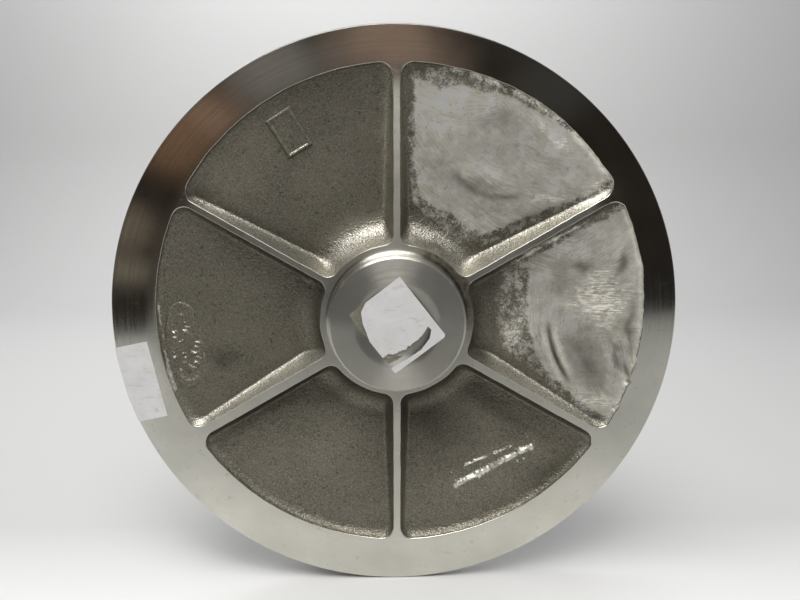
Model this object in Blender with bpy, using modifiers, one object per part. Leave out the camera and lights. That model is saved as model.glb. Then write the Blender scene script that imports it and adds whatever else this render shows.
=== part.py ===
"""Semi-open pump impeller, 406 mm across, one stainless casting seen from its ribbed rear.

World frame: +Z up, X across, the shaft axis along Y. The ribbed rear face looks towards -Y
and the origin is the centre of the hub boss's rear face.

Everything is modelled lying flat in a plan frame (x across, y up, z out of the rear face,
z = 0 on the boss face) and is stood upright at the end.
"""
import math

import bmesh
import bpy
from mathutils import Matrix, Vector

# Turned sizes, metres
OUTER_RADIUS = 0.203
RIB_PLANE = -0.016
EDGE_CHAMFER = 0.0006
RIM_THICKNESS = 0.0105
BOSS_RADIUS = 0.0468
BOSS_CHAMFER = 0.0015
BOSS_ROOT_RADIUS = 0.0486
BOSS_FILLET = 0.003
FILLET_MIDDLE = 0.3
RECESS_RADIUS = 0.030
RECESS_DEPTH = 0.0015
BORE_RADIUS = 0.0175
KEYWAY_WIDTH = 0.0095
KEYWAY_DEPTH = 0.0035
NUT_RECESS_RADIUS = 0.025
NUT_RECESS_DEPTH = 0.012

# Front of the shroud and the hub's nose
SHROUD_BEND_RADIUS = 0.100
SHROUD_BEND_HEIGHT = -0.045
NOSE_ROOT_RADIUS = 0.038
NOSE_ROOT_HEIGHT = -0.072
NOSE_RADIUS = 0.036
NOSE_HEIGHT = -0.0845
NOSE_CHAMFER = 0.0015
BEND_STEPS = 4

# Cast pockets between the ribs
POCKET_OUTER_RADIUS = 0.1745
POCKET_OUTER_CENTRE = (0.003, 0.004)
POCKET_INNER_RADIUS = 0.0555
POCKET_CORNER_OUTER = 0.009
POCKET_CORNER_INNER = 0.008
FLOOR_DEPTH_HUB = 0.022
FLOOR_DEPTH_RIM = 0.004
FLOOR_RADIUS_HUB = 0.078
FLOOR_RADIUS_RIM = 0.172
WALL_SPREAD_HUB = 0.008
WALL_SPREAD_RIM = 0.005
HUB_SPREAD = 0.019
RIM_SPREAD = 0.007
WALL_LEAN = 0.35
CORNER_TIGHTENING = 0.6
WALL_STEPS = 3
CORNER_HALF_STEPS = 1
STRAIGHT_STEPS = 5
ARC_STEPS = 6
RIB_WIDTHS = {30: 0.0050, 90: 0.0052, 150: 0.0048, 210: 0.0074, 270: 0.0056, 330: 0.0060}

# Vanes on the front
VANE_COUNT = 6
VANE_ANGLE = math.radians(28)
VANE_INNER_RADIUS = 0.062
VANE_OUTER_RADIUS = 0.208
VANE_NOSE_THICKNESS = 0.0050
VANE_THICKNESS = 0.0080
VANE_GROWTH = 3
VANE_POINTS = 12
VANE_END_STEPS = 4
VANE_TURN = math.radians(12)
VANE_TIP_RIM = -0.054
VANE_TIP_EYE = -0.072
VANE_END_RADIUS = 0.2027
VANE_ROOT_SINK = 0.004

# Paper labels
PAPER = 0.0003
PAPER_GAP = 0.0003
HUB_LABEL_LENGTH = 0.053
HUB_LABEL_WIDTH = 0.0445
HUB_LABEL_TURN = math.radians(-52.4)
HUB_LABEL_TORN_CORNER = [(-0.0265, -0.0076), (-0.0232, -0.0140), (-0.0030, -0.02225)]
HUB_LABEL_TEAR = [(0.0230, -0.0010), (0.0237, -0.0072), (0.0167, -0.0171), (0.0016, -0.0270),
                  (-0.0060, -0.0330), (-0.0120, -0.0250), (-0.0031, -0.0200), (0.0045, -0.0159),
                  (0.0132, -0.0101), (0.0190, -0.0043)]
RIM_LABEL_LENGTH = 0.057
RIM_LABEL_SHIFT = 0.0067
RIM_LABEL_INNER_EDGE = 0.1786
RIM_LABEL_TURN = math.radians(191.4)
RIM_LABEL_FOLD = 0.0085

SEGMENTS = 72
SHARP_EDGE = math.radians(30)
REACH = 0.010
STAND_UP = Matrix(((1, 0, 0, 0), (0, 0, -1, 0), (0, 1, 0, 0), (0, 0, 0, 1)))


def clear_scene():
    for obj in list(bpy.data.objects):
        bpy.data.objects.remove(obj, do_unlink=True)


def new_collection(name):
    collection = bpy.data.collections.new(name)
    bpy.context.scene.collection.children.link(collection)
    return collection


def new_material(name, colour, metallic, roughness):
    material = bpy.data.materials.new(name)
    material.use_nodes = True
    shader = material.node_tree.nodes["Principled BSDF"]
    shader.inputs["Base Color"].default_value = (*colour, 1.0)
    shader.inputs["Metallic"].default_value = metallic
    shader.inputs["Roughness"].default_value = roughness
    return material


def place(obj, collection):
    collection.objects.link(obj)
    return obj


def turned(name, profile):
    """A ring turned about z from a closed profile of (radius, height), down its outer side."""
    mesh = bpy.data.meshes.new(name)
    points = [(radius, 0, height) for radius, height in profile]
    edges = [(i, (i + 1) % len(points)) for i in range(len(points))]
    mesh.from_pydata(points, edges, [])
    obj = bpy.data.objects.new(name, mesh)
    screw = obj.modifiers.new("turn", "SCREW")
    screw.steps = SEGMENTS
    screw.render_steps = SEGMENTS
    screw.use_merge_vertices = True
    screw.merge_threshold = 0.00001
    return obj


def outline_solid(name, points, low, high):
    """A flat outline extruded between two heights."""
    curve = bpy.data.curves.new(name, "CURVE")
    curve.dimensions = "2D"
    curve.fill_mode = "BOTH"
    curve.extrude = (high - low) / 2
    spline = curve.splines.new("POLY")
    spline.points.add(len(points) - 1)
    for spline_point, (x, y) in zip(spline.points, points):
        spline_point.co = (x, y, 0, 1)
    spline.use_cyclic_u = True
    source = bpy.data.objects.new(name, curve)
    source.location.z = (low + high) / 2
    bpy.context.scene.collection.objects.link(source)
    bpy.context.view_layer.update()
    mesh = bpy.data.meshes.new_from_object(source.evaluated_get(bpy.context.evaluated_depsgraph_get()))
    mesh.transform(source.matrix_world)
    bpy.data.objects.remove(source)
    shape = bmesh.new()
    shape.from_mesh(mesh)
    bmesh.ops.remove_doubles(shape, verts=shape.verts, dist=0.00001)
    bmesh.ops.recalc_face_normals(shape, faces=shape.faces)
    shape.to_mesh(mesh)
    shape.free()
    return bpy.data.objects.new(name, mesh)


def block(name, size, centre, turn=0.0):
    mesh = bpy.data.meshes.new(name)
    shape = bmesh.new()
    placed = Matrix.Rotation(turn, 4, "Z") @ Matrix.Translation(centre) @ Matrix.Diagonal((*size, 1))
    bmesh.ops.create_cube(shape, size=1, matrix=placed)
    shape.to_mesh(mesh)
    shape.free()
    return bpy.data.objects.new(name, mesh)


def combine(target, tool, operation):
    """Adds one exact Boolean and hides its tool."""
    modifier = target.modifiers.new(tool.name, "BOOLEAN")
    modifier.operation = operation
    modifier.solver = "EXACT"
    modifier.object = tool
    tool.hide_render = True
    tool.display_type = "WIRE"


def settle(obj, material):
    """Applies the modifiers, stands the result upright, shades it smooth and colours it."""
    bpy.context.view_layer.update()
    mesh = bpy.data.meshes.new_from_object(obj.evaluated_get(bpy.context.evaluated_depsgraph_get()))
    obj.modifiers.clear()
    obj.data = mesh
    mesh.transform(STAND_UP)
    mesh.shade_smooth()
    mesh.set_sharp_from_angle(angle=SHARP_EDGE)
    mesh.materials.clear()
    mesh.materials.append(material)
    return obj


def arc(centre, radius, start, end, steps):
    """Points on an arc, both ends included; it turns anticlockwise where end is above start."""
    cx, cy = centre
    turns = [start + (end - start) * i / steps for i in range(steps + 1)]
    return [Vector((cx + radius * math.cos(turn), cy + radius * math.sin(turn))) for turn in turns]


def quarter_bend(centre, width, height):
    """The shroud's hollow curve down to the nose, a quarter of an ellipse in section."""
    radius, level = centre
    turns = [math.pi / 2 * i / BEND_STEPS for i in range(BEND_STEPS + 1)]
    return [(radius - width * math.sin(turn), level + height * math.cos(turn)) for turn in turns]


def casting_profile():
    boss_side = [
        (RECESS_RADIUS, 0),
        (BOSS_RADIUS, 0),
        (BOSS_RADIUS + BOSS_CHAMFER, -BOSS_CHAMFER),
        (BOSS_ROOT_RADIUS, RIB_PLANE + BOSS_FILLET),
        (BOSS_ROOT_RADIUS + FILLET_MIDDLE * BOSS_FILLET, RIB_PLANE + FILLET_MIDDLE * BOSS_FILLET),
        (BOSS_ROOT_RADIUS + BOSS_FILLET, RIB_PLANE),
    ]
    rim = [
        (OUTER_RADIUS - EDGE_CHAMFER, RIB_PLANE),
        (OUTER_RADIUS, RIB_PLANE - EDGE_CHAMFER),
        (OUTER_RADIUS, RIB_PLANE - RIM_THICKNESS),
    ]
    bend = quarter_bend(
        (SHROUD_BEND_RADIUS, NOSE_ROOT_HEIGHT),
        SHROUD_BEND_RADIUS - NOSE_ROOT_RADIUS,
        SHROUD_BEND_HEIGHT - NOSE_ROOT_HEIGHT,
    )
    nose = [
        (NOSE_RADIUS, NOSE_HEIGHT + NOSE_CHAMFER),
        (NOSE_RADIUS - NOSE_CHAMFER, NOSE_HEIGHT),
        (NUT_RECESS_RADIUS, NOSE_HEIGHT),
        (NUT_RECESS_RADIUS, NOSE_HEIGHT + NUT_RECESS_DEPTH),
    ]
    bore = [
        (BORE_RADIUS, NOSE_HEIGHT + NUT_RECESS_DEPTH),
        (BORE_RADIUS, -RECESS_DEPTH),
        (RECESS_RADIUS, -RECESS_DEPTH),
    ]
    return boss_side + rim + bend + nose + bore


def floor_depth(point):
    """How far a pocket's conical floor lies below the rib plane."""
    reach = (math.hypot(*point) - FLOOR_RADIUS_HUB) / (FLOOR_RADIUS_RIM - FLOOR_RADIUS_HUB)
    reach = min(max(reach, 0.0), 1.0)
    return FLOOR_DEPTH_HUB + (FLOOR_DEPTH_RIM - FLOOR_DEPTH_HUB) * reach


def wall_line(rib_angle, side, spread):
    """A pocket wall beside a rib as a unit normal into the pocket and its offset.

    side is +1 for the wall that faces anticlockwise and -1 for the other; spread, from 0 at the
    rib's top edge to 1 at the pocket floor, says how far the wall leans out from the rib.
    """
    along = Vector((math.cos(rib_angle), math.sin(rib_angle)))
    across = Vector((-along.y, along.x)) * side
    half = RIB_WIDTHS[round(math.degrees(rib_angle)) % 360] / 2
    near_hub = along * POCKET_INNER_RADIUS + across * (half + WALL_SPREAD_HUB * spread)
    near_rim = along * POCKET_OUTER_RADIUS + across * (half + WALL_SPREAD_RIM * spread)
    run = (near_rim - near_hub).normalized()
    normal = Vector((-run.y, run.x)) * side
    return normal, normal.dot(near_hub), along


def corner(wall, centre, distance, fillet):
    """Centre of the fillet circle that lies a distance from centre and touches the wall."""
    normal, offset, along = wall
    centre = Vector(centre)
    height = offset + fillet - normal.dot(centre)
    run = Vector((normal.y, -normal.x))
    if run.dot(along) < 0:
        run = -run
    return centre + normal * height + run * math.sqrt(distance ** 2 - height ** 2)


def turn_of(vector):
    return math.atan2(vector.y, vector.x)


def short_arc(centre, radius, start, end, steps):
    """An arc from one direction to another by the shorter way round."""
    sweep = (end - start + math.pi) % (2 * math.pi) - math.pi
    return arc(centre, radius, start, start + sweep, steps)


def straight_run(start, finish):
    """The points between two corners of a pocket wall."""
    return [start.lerp(finish, i / STRAIGHT_STEPS) for i in range(1, STRAIGHT_STEPS)]


def arc_between(ends, centre, radius):
    """One arc side of a pocket, with the halves of its two corner fillets at its ends."""
    start, finish = (turn_of(end[0] - Vector(centre)) for end in ends)
    middle = short_arc(centre, radius, start, finish, ARC_STEPS)[1:-1]
    return ends[0][::-1] + middle + ends[1]


def pocket_sides(first_rib, spread_walls, spread_hub, spread_rim, shrink):
    """The four sides of a pocket outline: wall, outer arc, other wall, inner arc.

    Both walls run outwards and both arcs run anticlockwise, and each side ends in the middle
    of a corner fillet, so that the four join.
    """
    second_rib = first_rib + math.radians(60)
    walls = (wall_line(first_rib, 1, spread_walls), wall_line(second_rib, -1, spread_walls))
    inner = POCKET_INNER_RADIUS + spread_hub
    outer = POCKET_OUTER_RADIUS - spread_rim
    fillet_in = POCKET_CORNER_INNER * shrink
    fillet_out = POCKET_CORNER_OUTER * shrink
    half = CORNER_HALF_STEPS
    corners = []
    for wall in walls:
        low = corner(wall, (0, 0), inner + fillet_in, fillet_in)
        high = corner(wall, POCKET_OUTER_CENTRE, outer - fillet_out, fillet_out)
        to_wall = turn_of(-wall[0])
        to_hub = turn_of(-low)
        to_rim = turn_of(high - Vector(POCKET_OUTER_CENTRE))
        corners.append((short_arc(low, fillet_in, to_hub, to_wall, 2 * half),
                        short_arc(high, fillet_out, to_wall, to_rim, 2 * half)))
    sides = [low[half:] + straight_run(low[-1], high[0]) + high[:half + 1] for low, high in corners]
    inner_ends = [low[:half + 1] for low, high in corners]
    outer_ends = [high[:half - 1:-1] for low, high in corners]
    inner_arc = arc_between(inner_ends, (0, 0), inner)
    outer_arc = arc_between(outer_ends, POCKET_OUTER_CENTRE, outer)
    return sides[0], outer_arc, sides[1], inner_arc


def loop_of(sides):
    """One anticlockwise loop of points from the four sides."""
    wall, outer, other_wall, inner = sides
    return wall[:-1] + outer[:-1] + other_wall[::-1][:-1] + inner[::-1][:-1]


def pocket_shape(shape, first_rib):
    """Adds one pocket's cutter: leaning walls, rounded foot and a conical floor."""
    loops = []
    for step in range(WALL_STEPS + 1):
        turn = math.pi / 2 * step / WALL_STEPS
        down, out = math.sin(turn), 1 - math.cos(turn)
        spread = WALL_LEAN * down + (1 - WALL_LEAN) * out
        shrink = 1 - CORNER_TIGHTENING * out
        sides = pocket_sides(first_rib, spread, HUB_SPREAD * out, RIM_SPREAD * out, shrink)
        loops.append((sides, down))
    rings = []
    top = loop_of(loops[0][0])
    rings.append([shape.verts.new((p.x, p.y, RIB_PLANE + REACH / 2)) for p in top])
    for sides, down in loops:
        ring = [(p.x, p.y, RIB_PLANE - floor_depth(p) * down) for p in loop_of(sides)]
        rings.append([shape.verts.new(p) for p in ring])
    for upper, lower in zip(rings, rings[1:]):
        for i in range(len(upper)):
            j = (i + 1) % len(upper)
            shape.faces.new((upper[i], upper[j], lower[j], lower[i]))
    shape.faces.new(rings[0][::-1])
    fill_floor(shape, loops[-1][0], rings[-1])


def fill_floor(shape, sides, ring):
    """A grid across the pocket's floor, blended from its four sides."""
    wall, outer, other_wall, inner = sides
    rows, columns = len(wall) - 1, len(outer) - 1
    border = {}
    for i in range(rows):
        border[i, 0] = ring[i]
        border[rows - i, columns] = ring[rows + columns + i]
    for j in range(columns):
        border[rows, j] = ring[rows + j]
        border[0, columns - j] = ring[2 * rows + columns + j]
    grid = {}
    for i in range(rows + 1):
        for j in range(columns + 1):
            if (i, j) in border:
                grid[i, j] = border[i, j]
                continue
            u, v = j / columns, i / rows
            edges = wall[i].lerp(other_wall[i], u) + inner[j].lerp(outer[j], v)
            corners = inner[0].lerp(inner[-1], u).lerp(outer[0].lerp(outer[-1], u), v)
            point = edges - corners
            grid[i, j] = shape.verts.new((point.x, point.y, RIB_PLANE - floor_depth(point)))
    for i in range(rows):
        for j in range(columns):
            shape.faces.new((grid[i, j], grid[i + 1, j], grid[i + 1, j + 1], grid[i, j + 1]))


def pocket_cutters():
    mesh = bpy.data.meshes.new("pockets")
    shape = bmesh.new()
    for rib in sorted(RIB_WIDTHS):
        pocket_shape(shape, math.radians(rib))
    bmesh.ops.recalc_face_normals(shape, faces=shape.faces)
    shape.to_mesh(mesh)
    shape.free()
    return bpy.data.objects.new("pockets", mesh)


def vane_outline(turn):
    """A backward-curved vane in plan: both sides of a spiral, with a round inner end."""
    wrap = math.log(VANE_OUTER_RADIUS / VANE_INNER_RADIUS) / math.tan(VANE_ANGLE)
    front, back = [], []
    for i in range(VANE_POINTS):
        part = i / (VANE_POINTS - 1)
        sweep = wrap * part
        radius = VANE_INNER_RADIUS * math.exp(math.tan(VANE_ANGLE) * sweep)
        middle = Vector((math.cos(turn + sweep), math.sin(turn + sweep))) * radius
        heading = turn + sweep + math.pi / 2 - VANE_ANGLE
        side = Vector((-math.sin(heading), math.cos(heading)))
        grow = min(part * VANE_GROWTH, 1.0)
        half = (VANE_NOSE_THICKNESS + (VANE_THICKNESS - VANE_NOSE_THICKNESS) * grow) / 2
        front.append(middle + side * half)
        back.append(middle - side * half)
    start = (front[0] + back[0]) / 2
    radius = VANE_NOSE_THICKNESS / 2
    to_back = turn_of(back[0] - start)
    round_end = arc(start, radius, to_back, to_back - math.pi, VANE_END_STEPS)[1:-1]
    return [(p.x, p.y) for p in back[::-1] + round_end + front]


def vane_ring():
    """All vanes as one set, reaching from inside the shroud to past the tip cone."""
    whole = bmesh.new()
    for i in range(VANE_COUNT):
        turn = VANE_TURN + i * 2 * math.pi / VANE_COUNT
        vane = outline_solid("vane", vane_outline(turn), VANE_TIP_EYE - REACH, RIB_PLANE)
        whole.from_mesh(vane.data)
        bpy.data.objects.remove(vane)
    mesh = bpy.data.meshes.new("vanes")
    whole.to_mesh(mesh)
    whole.free()
    return bpy.data.objects.new("vanes", mesh)


def vane_envelope():
    """The turned space that the vanes fill: a little way into the shroud, out to the tip cone."""
    root_rim = RIB_PLANE - RIM_THICKNESS + VANE_ROOT_SINK
    root_eye = SHROUD_BEND_HEIGHT + VANE_ROOT_SINK
    inner = NOSE_RADIUS + REACH
    slope = (VANE_TIP_EYE - VANE_TIP_RIM) / (VANE_INNER_RADIUS - OUTER_RADIUS)
    tip_inner = VANE_TIP_EYE + slope * (inner - VANE_INNER_RADIUS)
    return turned("vane_envelope", [
        (inner, root_eye),
        (SHROUD_BEND_RADIUS, root_eye),
        (VANE_END_RADIUS, root_rim),
        (VANE_END_RADIUS, VANE_TIP_RIM),
        (inner, tip_inner),
    ])


def make_casting(parts, tools, material):
    casting = place(turned("impeller_casting", casting_profile()), parts)
    vanes = place(vane_ring(), tools)
    combine(vanes, place(vane_envelope(), tools), "INTERSECT")
    combine(casting, vanes, "UNION")
    combine(casting, place(pocket_cutters(), tools), "DIFFERENCE")
    key_top = BORE_RADIUS + KEYWAY_DEPTH
    length = REACH * 2 - NOSE_HEIGHT
    keyway = block("keyway", (KEYWAY_WIDTH, key_top, length), (0, key_top / 2, NOSE_HEIGHT / 2))
    combine(casting, place(keyway, tools), "DIFFERENCE")
    return settle(casting, material)


def hub_label_outline():
    """The label's rectangle with its left corner torn off, in the plan frame."""
    along, across = HUB_LABEL_LENGTH / 2, HUB_LABEL_WIDTH / 2
    flat = [(-along, across), *HUB_LABEL_TORN_CORNER, (along, -across), (along, across)]
    turn = Matrix.Rotation(HUB_LABEL_TURN, 2)
    return [tuple(turn @ Vector(point)) for point in flat]


def make_hub_label(parts, tools, material):
    low, high = PAPER_GAP, PAPER_GAP + PAPER
    label = place(outline_solid("hub_label", hub_label_outline(), low, high), parts)
    tear = outline_solid("hub_label_tear", HUB_LABEL_TEAR, low - PAPER, high + PAPER)
    combine(label, place(tear, tools), "DIFFERENCE")
    return settle(label, material)


def make_rim_label(parts, tools, material):
    """A label stuck on the rim face and folded over the rim's edge."""
    face = RIB_PLANE + PAPER_GAP
    skin = OUTER_RADIUS + PAPER_GAP
    inner = RIM_LABEL_INNER_EDGE - REACH
    fold_end = RIB_PLANE - RIM_LABEL_FOLD
    label = place(turned("rim_label", [
        (inner, face + PAPER),
        (skin + PAPER, face + PAPER),
        (skin + PAPER, fold_end),
        (skin, fold_end),
        (skin, face),
        (inner, face),
    ]), parts)
    depth = 4 * REACH
    frame = block("rim_label_frame", (depth, RIM_LABEL_LENGTH, depth),
                  (RIM_LABEL_INNER_EDGE + depth / 2, RIM_LABEL_SHIFT, face), RIM_LABEL_TURN)
    combine(label, place(frame, tools), "INTERSECT")
    return settle(label, material)


def main():
    clear_scene()
    parts = new_collection("pump_impeller")
    tools = new_collection("cutters")
    steel = new_material("cast_stainless", (0.36, 0.35, 0.31), 0.9, 0.45)
    hub_paper = new_material("hub_label_paper", (0.72, 0.72, 0.72), 0.0, 0.8)
    rim_paper = new_material("rim_label_paper", (0.68, 0.68, 0.68), 0.0, 0.8)
    make_casting(parts, tools, steel)
    make_hub_label(parts, tools, hub_paper)
    make_rim_label(parts, tools, rim_paper)
    for tool in list(tools.objects):
        bpy.data.objects.remove(tool)
    bpy.data.collections.remove(tools)


main()
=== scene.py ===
"""Looks of the pump impeller: a turned and hand-ground stainless casting with two paper labels.

World frame: +Z up, the shaft axis along Y, the ribbed rear face towards -Y. The casting and
its labels are modelled lying in a plan frame in millimetres (x across, y up, z out of the
rear face, z = 0 on the hub boss) and are stood upright at the end.
"""
from math import atan2, cos, degrees, exp, hypot, log, pi, radians, sin, sqrt, tan

import bmesh
import bpy
import numpy as np
from mathutils import Matrix, Vector, geometry, noise


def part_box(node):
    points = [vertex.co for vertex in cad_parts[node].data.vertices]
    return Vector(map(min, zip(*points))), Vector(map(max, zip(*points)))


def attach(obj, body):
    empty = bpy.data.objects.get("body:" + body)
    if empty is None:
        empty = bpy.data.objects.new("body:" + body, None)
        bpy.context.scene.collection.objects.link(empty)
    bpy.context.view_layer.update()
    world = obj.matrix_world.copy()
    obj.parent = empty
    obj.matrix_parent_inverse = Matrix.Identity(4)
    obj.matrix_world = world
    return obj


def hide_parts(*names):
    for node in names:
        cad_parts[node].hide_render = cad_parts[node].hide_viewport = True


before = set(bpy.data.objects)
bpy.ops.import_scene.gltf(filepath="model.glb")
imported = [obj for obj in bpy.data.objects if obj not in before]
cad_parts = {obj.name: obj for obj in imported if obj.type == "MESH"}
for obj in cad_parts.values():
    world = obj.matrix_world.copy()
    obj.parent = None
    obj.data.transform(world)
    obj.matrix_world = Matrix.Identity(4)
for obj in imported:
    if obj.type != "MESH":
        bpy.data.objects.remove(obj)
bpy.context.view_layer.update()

CASTING_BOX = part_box("impeller_casting")
MM = 0.001

# Turned sizes, millimetres; a pair is a radius and a height
OUTER_RADIUS = (CASTING_BOX[1][0] - CASTING_BOX[0][0]) / 2 / MM
NOSE_HEIGHT = -CASTING_BOX[1][1] / MM
RIB_PLANE = -16.0
RIM_FRONT = -26.5
EDGE_CHAMFER = 0.6
BOSS_RADIUS = 46.8
BOSS_CHAMFER = 1.5
BOSS_ROOT_RADIUS = 48.6
BOSS_FILLET = 3.0
RECESS_RADIUS = 30.0
RECESS_FLOOR_RADIUS = 22.0
RECESS_DEPTH = 1.5
RECESS_SOFTNESS = 15.0
BORE_RADIUS = 17.5
KEYWAY_WIDTH = 9.5
KEYWAY_TOP = 21.0
NUT_RECESS_RADIUS = 25.0
NUT_RECESS_DEPTH = 12.0
SHROUD_BEND = (100.0, -45.0)
NOSE_ROOT = (38.0, -72.0)
NOSE_RADIUS = 36.0
NOSE_CHAMFER = 1.5
TURNING_STEPS = 252
BEND_STEPS = 14
SHROUD_STEPS = 20
FRONT_WAVE = 0.12

# Cast pockets between the ribs: widths by rib angle in degrees, a lip step as its height over the rib
# plane and the pocket's flare there, and the floors' mesh steps along the walls and the arcs
POCKET_OUTER_RADIUS = 174.5
POCKET_OUTER_CENTRE = Vector((3.0, 4.0))
POCKET_INNER_RADIUS = 55.5
POCKET_CORNER_OUTER = 9.0
POCKET_CORNER_INNER = 8.0
FLOOR_DEPTH_HUB = 22.0
FLOOR_DEPTH_RIM = 4.0
FLOOR_RADIUS_HUB = 78.0
FLOOR_RADIUS_RIM = 172.0
WALL_SPREAD_HUB = 8.0
WALL_SPREAD_RIM = 5.0
HUB_SPREAD = 19.0
RIM_SPREAD = 7.0
WALL_LEAN = 0.35
CORNER_TIGHTENING = 0.6
RIB_WIDTHS = {30: 5.0, 90: 5.2, 150: 4.8, 210: 7.4, 270: 5.6, 330: 6.0}
LIP_STEPS = ((5.0, 1.15), (0.0, 0.56), (-0.12, 0.34), (-0.34, 0.15), (-0.7, 0.04))
LIP_DEPTH = 0.4
WALL_STEPS = 10
CORNER_HALF_STEPS = 4
FINE_FLOOR = (82, 116)
PLAIN_FLOOR = (41, 58)
FLOOR_STEPS = {rib: FINE_FLOOR if rib in (30, 330) else PLAIN_FLOOR for rib in RIB_WIDTHS}

# Vanes on the front
VANE_COUNT = 6
VANE_ANGLE = radians(28)
VANE_INNER_RADIUS = 62.0
VANE_OUTER_RADIUS = 208.0
VANE_NOSE_THICKNESS = 5.0
VANE_THICKNESS = 8.0
VANE_GROWTH = 3
VANE_TURN = radians(12)
VANE_TIP_RIM = -54.0
VANE_TIP_EYE = -72.0
VANE_END_RADIUS = 202.7
VANE_FILLET = 4.0
VANE_SINK = 4.0
VANE_TIP_ROUND = 0.4
VANE_POINTS = 44
VANE_END_STEPS = 8
VANE_WALL_LEVELS = (0.0, 0.12, 0.3, 0.55, 1.0, 2.2, 4.0)

# Hand grinding, plan millimetres: the bright areas, and wider ones where only high spots are cut
GROUND_CLEAN = (
    ((12, 169), (22, 168), (30, 162), (44, 165), (60, 160), (76, 159), (101, 146), (124, 132), (138, 122),
     (147, 111), (154, 101), (139, 90), (107, 78), (88, 70), (65, 60), (50, 66), (40, 76), (28, 80),
     (17, 88), (14, 98), (13, 108), (10, 116), (13, 128), (11, 150)),
    ((164, 82), (146, 72), (128, 62), (109, 50), (92, 41), (98, 32), (97, 14), (98, -4), (106, -34),
     (128, -57), (146, -71), (159, -76), (167, -61), (181, -25), (183, 21), (176, 54)),
)
GROUND_PATCHY = (
    ((13, 172), (48, 173), (83, 162), (111, 146), (136, 130), (157, 101), (153, 91), (107, 75),
     (65, 54), (43, 60), (22, 76), (14, 84), (9, 121)),
    ((164, 84), (97, 49), (82, 33), (76, 10), (78, -8), (84, -25), (100, -37), (145, -75), (160, -78),
     (171, -61), (186, -25), (184, 21), (176, 54)),
)
GROUND_REACH = 5.0
CLEAN_REACH = 2.5

# The grinder also ate into the ring's inner edge: a broad push outwards, full between the first two
# turns and gone at the third, and a few nicks at an angle in degrees, with their half width and depth
EDGE_PUSH = 1.5
EDGE_PUSH_RANGE = (radians(-31), radians(48), radians(82))
EDGE_FADE = 0.03
EDGE_NICKS = ((-10.6, 0.8, 1.2), (-15.1, 0.8, 1.4), (-22.2, 1.2, 1.0), (34.0, 2.5, 1.0), (12.0, 3.0, 0.7))

# Ridges and gouges left by the grinder: centre, radius, from and to in degrees, width, height
GRIND_ARCS = (
    ((78, 134), 46.0, 212, 292, 2.8, -0.55),
    ((78, 134), 38.0, 205, 300, 7.0, 0.25),
    ((70, 165), 60.0, 240, 320, 6.0, 0.2),
    ((100, 175), 62.0, 225, 300, 5.0, -0.2),
    ((217, 8), 104.0, 183, 217, 1.4, -1.5),
    ((217, 8), 108.0, 183, 217, 1.7, 0.7),
    ((217, 8), 99.5, 183, 217, 2.0, 0.6),
    ((271, -7), 105.0, 189, 209, 1.3, -0.8),
    ((271, -7), 108.5, 189, 209, 1.5, 0.4),
    ((-85, -58), 263.5, 5, 14, 1.2, -0.5),
    ((150, 30), 30.0, 100, 210, 6.0, -0.25),
    ((140, 60), 52.0, 235, 300, 5.0, 0.2),
)
GRIND_FADE = 14

# Darker clouds, or lighter ones below 0, on the metal, partly stains and partly painted shade and painted
# # highlight: centre, half length, half width, turn, strength
STAINS_AND_PAINTED_LIGHT = (
    ((-45, 120), 55, 42, 45, -0.32),
    ((-112, 108), 38, 24, 50, -0.34),
    ((-6, 118), 60, 4.5, 90, -0.8),
    ((-105, 66), 38, 7, 150, 0.35),
    ((-140, 88), 14, 8, 150, 0.5),
    ((-33, 66), 27, 8, 26, -0.60),
    ((128, 80), 40, 5, 30, 0.08),
    ((158, 84), 8, 8, 0, 0.4),
    ((-62, -108), 48, 28, 30, -0.2),
    ((58, -128), 45, 20, 25, -0.2),
    ((118, -118), 30, 8, 45, 0.35),
    ((78, 78), 36, 9, -5, 0.20),
    ((32, 144), 24, 16, 0, -0.20),
    ((40, 104), 30, 13, -12, 0.20),
    ((128, 88), 28, 7, 27, 0.22),
    ((153, 98), 9, 7, 0, 0.50),
    ((120, -38), 9, 20, 30, 0.22),
    ((72, -34), 22, 6, -28, 0.40),
    ((64, 97), 17, 4.0, -26, 0.50),
    ((86, 99), 13, 7, -20, 0.25),
    ((70, 30), 9, 10, 0, 0.20),
    ((160, 60), 7, 14, 25, -0.20),
    ((84, 66), 22, 3.5, 26, 0.40),
    ((-11, 59), 12, 4, 8, 0.6),
    ((-34, 53), 15, 4, 30, 0.4),
    ((27, 53), 17, 4.5, -28, 0.55),
    ((140, -62), 20, 6, -22, 0.10),
    ((150, -77), 14, 4, -28, 0.50),
    ((104, -30), 5, 20, 25, 0.15),
    ((138, -2), 26, 34, 0, 0.18),
    ((-64, 42), 26, 13, 150, 0.25),
    ((-127, -31), 9, 7, 0, 0.40),
    ((-98, -68), 50, 8, 29, 0.45),
    ((-45, -58), 24, 9, 15, 0.35),
    ((24, -80), 20, 32, 50, 0.50),
    ((75, -70), 48, 8, -30, 0.35),
    ((60, -5), 12, 34, 0, 0.35),
    ((88, -14), 10, 18, -25, -0.95),
    ((86, 16), 8, 12, -10, -0.20),
    ((144, -36), 24, 12, -55, 0.55),
    ((136, 38), 9, 4, 10, 0.55),
    ((126, 52), 14, 8, 20, -0.25),
    ((163, 40), 16, 3.2, 70, 0.55),
    ((172, -8), 18, 3.0, 90, 0.55),
    ((165, -30), 14, 2.5, -65, 0.60),
    ((68, 143), 22, 7, -15, 0.34),
    ((50, 156), 44, 12, -8, -0.35),
    ((112, 134), 34, 9, -42, -0.35),
    ((146, 100), 14, 12, 0, -0.25),
    ((22, 66), 16, 9, 30, 0.25),
)
CLOUD_REACH = 4.0
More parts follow.
